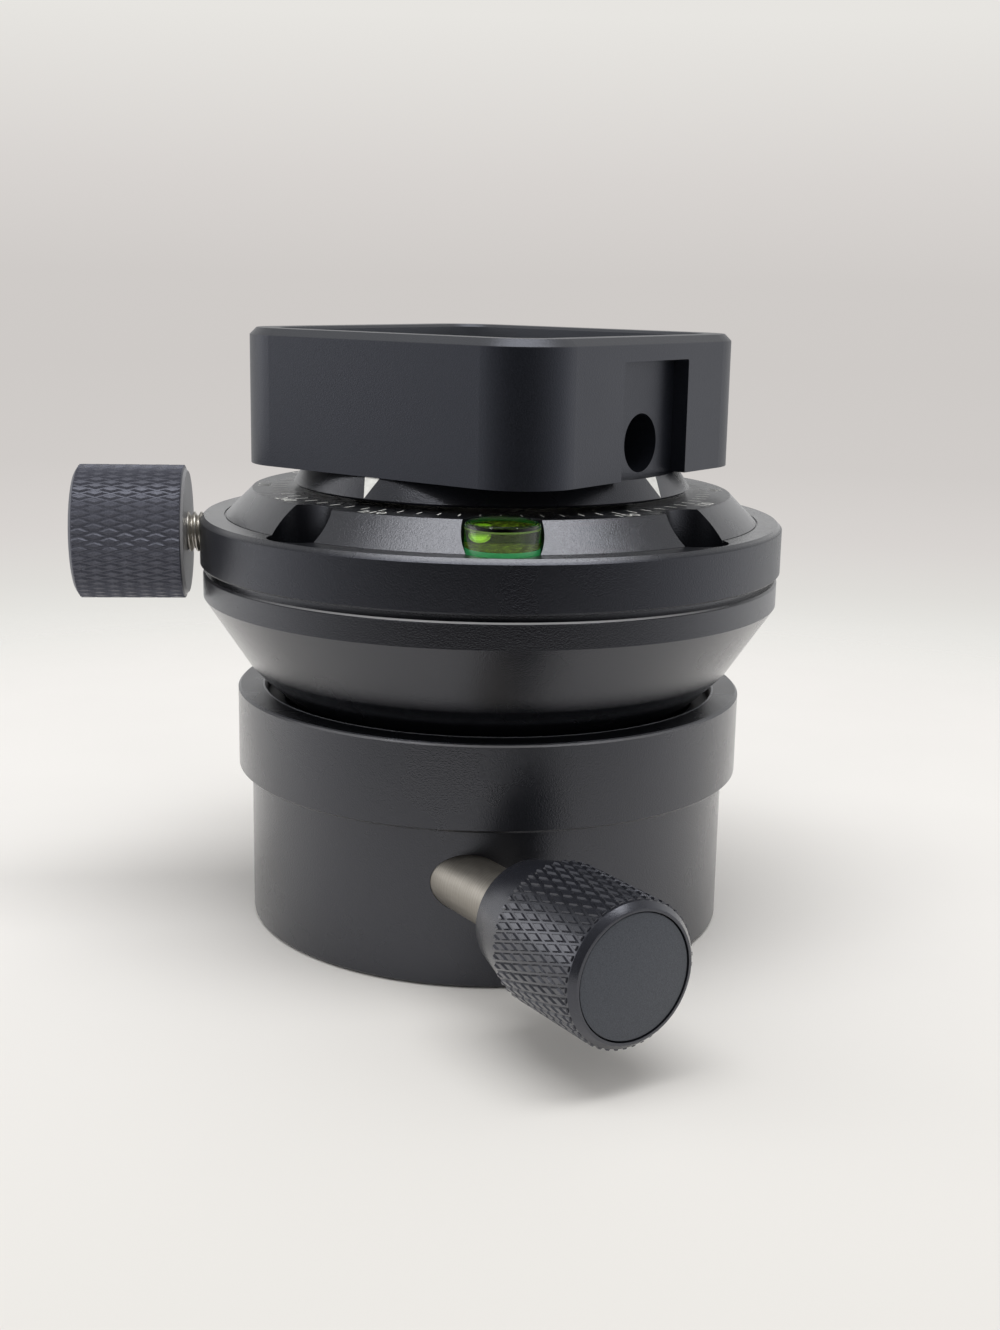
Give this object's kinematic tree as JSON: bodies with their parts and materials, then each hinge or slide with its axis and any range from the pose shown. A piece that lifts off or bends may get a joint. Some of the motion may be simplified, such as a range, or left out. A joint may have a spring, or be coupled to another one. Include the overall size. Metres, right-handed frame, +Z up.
{
  "type": "tripod leveling head",
  "caption": "Leveling head for a tripod: ball bowl in a turned base, scale ring with a bubble level, panning square receiver, two knurled lock knobs",
  "frame": {"origin": "middle of the tripod thread's mouth, on the bottom face", "axes": "+Z up along the head's axis, -Y is the front as pictured, +X to the right"},
  "size_m": [0.1068, 0.1166, 0.0895],
  "materials": {
    "black_anodised": "bead-blasted black anodised aluminium",
    "turned_steel": "turned stainless steel",
    "threaded_steel": "threaded stainless steel",
    "black_screw_steel": "black oxide steel",
    "knob_cap_black": "fine turned black anodised aluminium",
    "plain_aluminium": "turned bare aluminium",
    "bearing_brass": "turned bearing brass",
    "hardened_steel": "ground hardened steel",
    "liner_plastic": "acetal sliding liner",
    "vial_clear": "clear acrylic",
    "level_liquid": "green level liquid",
    "level_green": "bright green gloss plastic"
  },
  "bodies": {
    "base": {"base_housing": "black_anodised", "base_plate": "black_anodised", "plate_screws": "black_screw_steel", "tripod_bush": "turned_steel", "clamp_post": "threaded_steel", "clamp_dome": "turned_steel", "dome_nut": "threaded_steel", "tilt_bush": "bearing_brass"},
    "seat": {"seat_ring": "black_anodised", "lift_pin": "hardened_steel"},
    "wedge": {"tilt_wedge": "hardened_steel"},
    "tilt_lock": {"tilt_spindle": "turned_steel", "tilt_knob": "black_anodised", "tilt_knob_cap": "knob_cap_black", "tilt_knob_screw": "black_screw_steel"},
    "shim": {"friction_shim": "liner_plastic"},
    "bowl": {"bowl": "black_anodised", "scale_ring": "black_anodised", "ring_screws": "black_screw_steel", "level_base": "level_green", "level_vial": "vial_clear", "level_liquid": "level_liquid", "pan_bush": "bearing_brass", "thrust_washer": "liner_plastic"},
    "shoe": {"pan_shoe": "bearing_brass"},
    "pan_lock": {"pan_lock_screw": "threaded_steel", "pan_knob": "black_anodised", "pan_knob_cap": "knob_cap_black", "pan_knob_screw": "black_screw_steel"},
    "pan_top": {"pan_shaft": "turned_steel", "pan_retainer": "plain_aluminium", "retainer_screw": "black_screw_steel", "index_disc": "black_anodised", "receiver_frame": "black_anodised", "receiver_base": "black_anodised", "receiver_screws": "black_screw_steel"}
  },
  "joints": [
    {"name": "wedge_slide", "type": "slide", "parent": "base", "child": "wedge", "axis": [-0.5432, 0.8396, 0], "range_m": [0, 0.0015]},
    {"name": "tilt_lock_turn", "type": "hinge", "parent": "wedge", "child": "tilt_lock", "pos_m": [-0.01805, -0.01168, 0.01542], "axis": [-0.5432, 0.8396, 0], "range_deg": [0, 432]},
    {"name": "seat_lift", "type": "slide", "parent": "base", "child": "seat", "axis": [0, 0, 1], "range_m": [0, 0.0003]},
    {"name": "tilt_x", "type": "hinge", "parent": "base", "child": "shim", "pos_m": [0, 0, 0.07352], "axis": [1, 0, 0], "range_deg": [-10, 10]},
    {"name": "tilt_y", "type": "hinge", "parent": "shim", "child": "bowl", "pos_m": [0, 0, 0.07352], "axis": [0, 1, 0], "range_deg": [-10, 10]},
    {"name": "shoe_slide", "type": "slide", "parent": "bowl", "child": "shoe", "axis": [0.9968, 0.0802, 0], "range_m": [0, 0.0005]},
    {"name": "pan_lock_turn", "type": "hinge", "parent": "shoe", "child": "pan_lock", "pos_m": [0, 0, 0.05897], "axis": [0.9968, 0.0802, 0], "range_deg": [0, 180]},
    {"name": "pan_turn", "type": "hinge", "parent": "bowl", "child": "pan_top", "pos_m": [0, 0, 0.06602], "axis": [0, 0, 1], "continuous": true}
  ],
  "couplings": [
    {"joint": "tilt_lock_turn", "follows": "wedge_slide", "rad_per_m": 5026.5},
    {"joint": "seat_lift", "follows": "wedge_slide", "ratio": 0.19999},
    {"joint": "pan_lock_turn", "follows": "shoe_slide", "rad_per_m": 6283.2}
  ]
}
